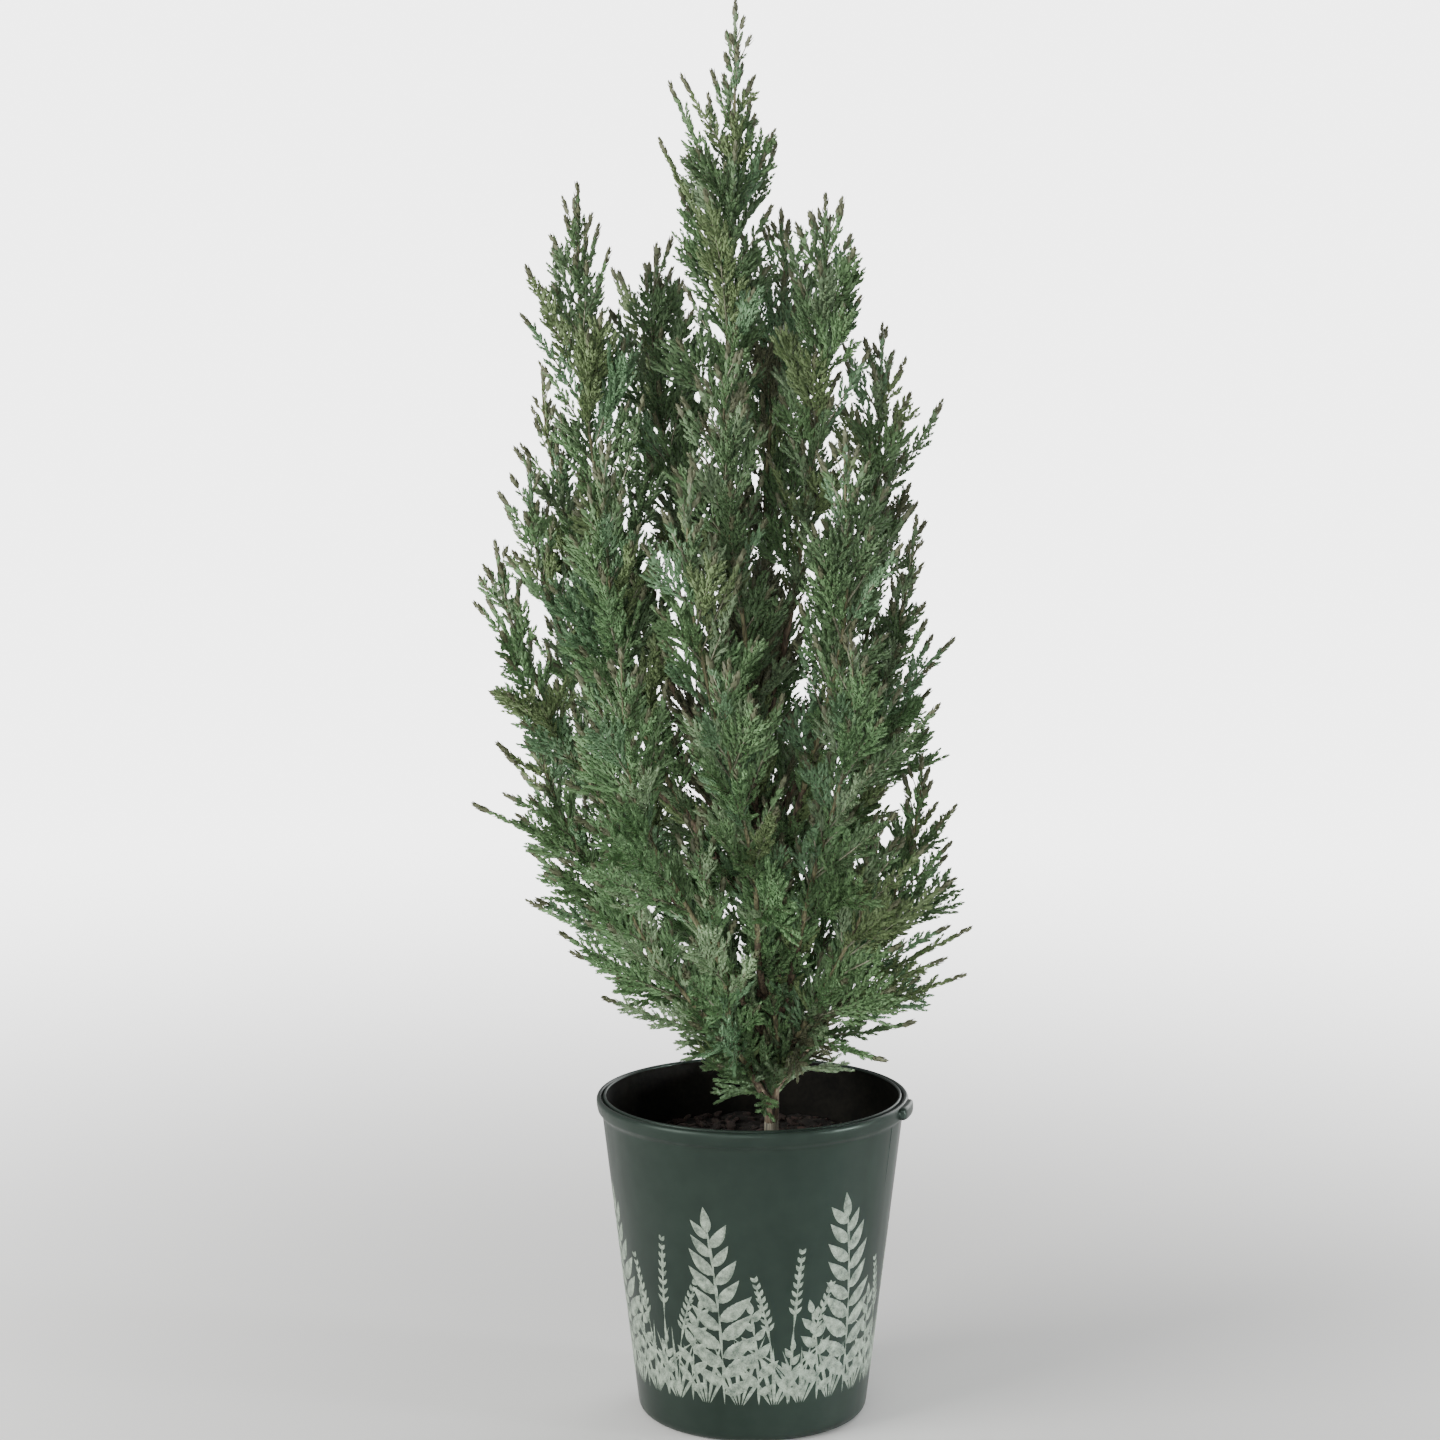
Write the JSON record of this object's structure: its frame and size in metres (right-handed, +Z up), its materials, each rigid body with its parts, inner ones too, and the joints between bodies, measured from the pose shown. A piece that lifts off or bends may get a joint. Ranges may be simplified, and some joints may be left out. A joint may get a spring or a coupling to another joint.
{
  "type": "potted juniper",
  "caption": "Young upright juniper with scale-leaved plumes on a slender trunk, in a tapered dark green plastic pot of soil.",
  "frame": {"origin": "the pot's axis at the pot's flat underside", "axes": "+Z up along the pot's axis, -Y towards the front that the picture shows, +X to the right of it"},
  "size_m": [0.295, 0.3143, 0.852],
  "materials": {
    "pot": "satin moulded plastic, dark grey-green, with a pale sage print of leafy sprigs",
    "soil": "dark crumbly potting mix of peat and bark",
    "bark": "fibrous grey-brown bark in lengthwise strips",
    "foliage": "fine scale-leaved sprays, grey-green to olive"
  },
  "bodies": {
    "root": {"bough_high_back_left": "bark", "bough_high_back_right": "bark", "bough_high_front": "bark", "bough_high_left": "bark", "bough_high_right": "bark", "bough_inner_front": "bark", "bough_low_back_left": "bark", "bough_low_back_right": "bark", "bough_low_front": "bark", "bough_low_front_left": "bark", "bough_low_front_right": "bark", "bough_low_left": "bark", "bough_low_right": "bark", "bough_middle_back": "bark", "bough_middle_back_left": "bark", "bough_middle_back_right": "bark", "bough_middle_front": "bark", "bough_middle_front_left": "bark", "bough_middle_front_right": "bark", "bough_middle_left": "bark", "bough_middle_right": "bark", "bough_upper_back_left": "bark", "bough_upper_back_right": "bark", "bough_upper_front": "bark", "bough_upper_front_left": "bark", "bough_upper_front_right": "bark", "bough_upper_left": "bark", "bough_upper_right": "bark", "foliage_high_back_left": "foliage", "foliage_high_back_right": "foliage", "foliage_high_front": "foliage", "foliage_high_left": "foliage", "foliage_high_right": "foliage", "foliage_inner_front": "foliage", "foliage_leader": "foliage", "foliage_low_back_left": "foliage", "foliage_low_back_right": "foliage", "foliage_low_front": "foliage", "foliage_low_front_left": "foliage", "foliage_low_front_right": "foliage", "foliage_low_left": "foliage", "foliage_low_right": "foliage", "foliage_middle_back": "foliage", "foliage_middle_back_left": "foliage", "foliage_middle_back_right": "foliage", "foliage_middle_front": "foliage", "foliage_middle_front_left": "foliage", "foliage_middle_front_right": "foliage", "foliage_middle_left": "foliage", "foliage_middle_right": "foliage", "foliage_upper_back_left": "foliage", "foliage_upper_back_right": "foliage", "foliage_upper_front": "foliage", "foliage_upper_front_left": "foliage", "foliage_upper_front_right": "foliage", "foliage_upper_left": "foliage", "foliage_upper_right": "foliage", "pot": "pot", "soil": "soil", "trunk": "bark"}
  },
  "joints": []
}
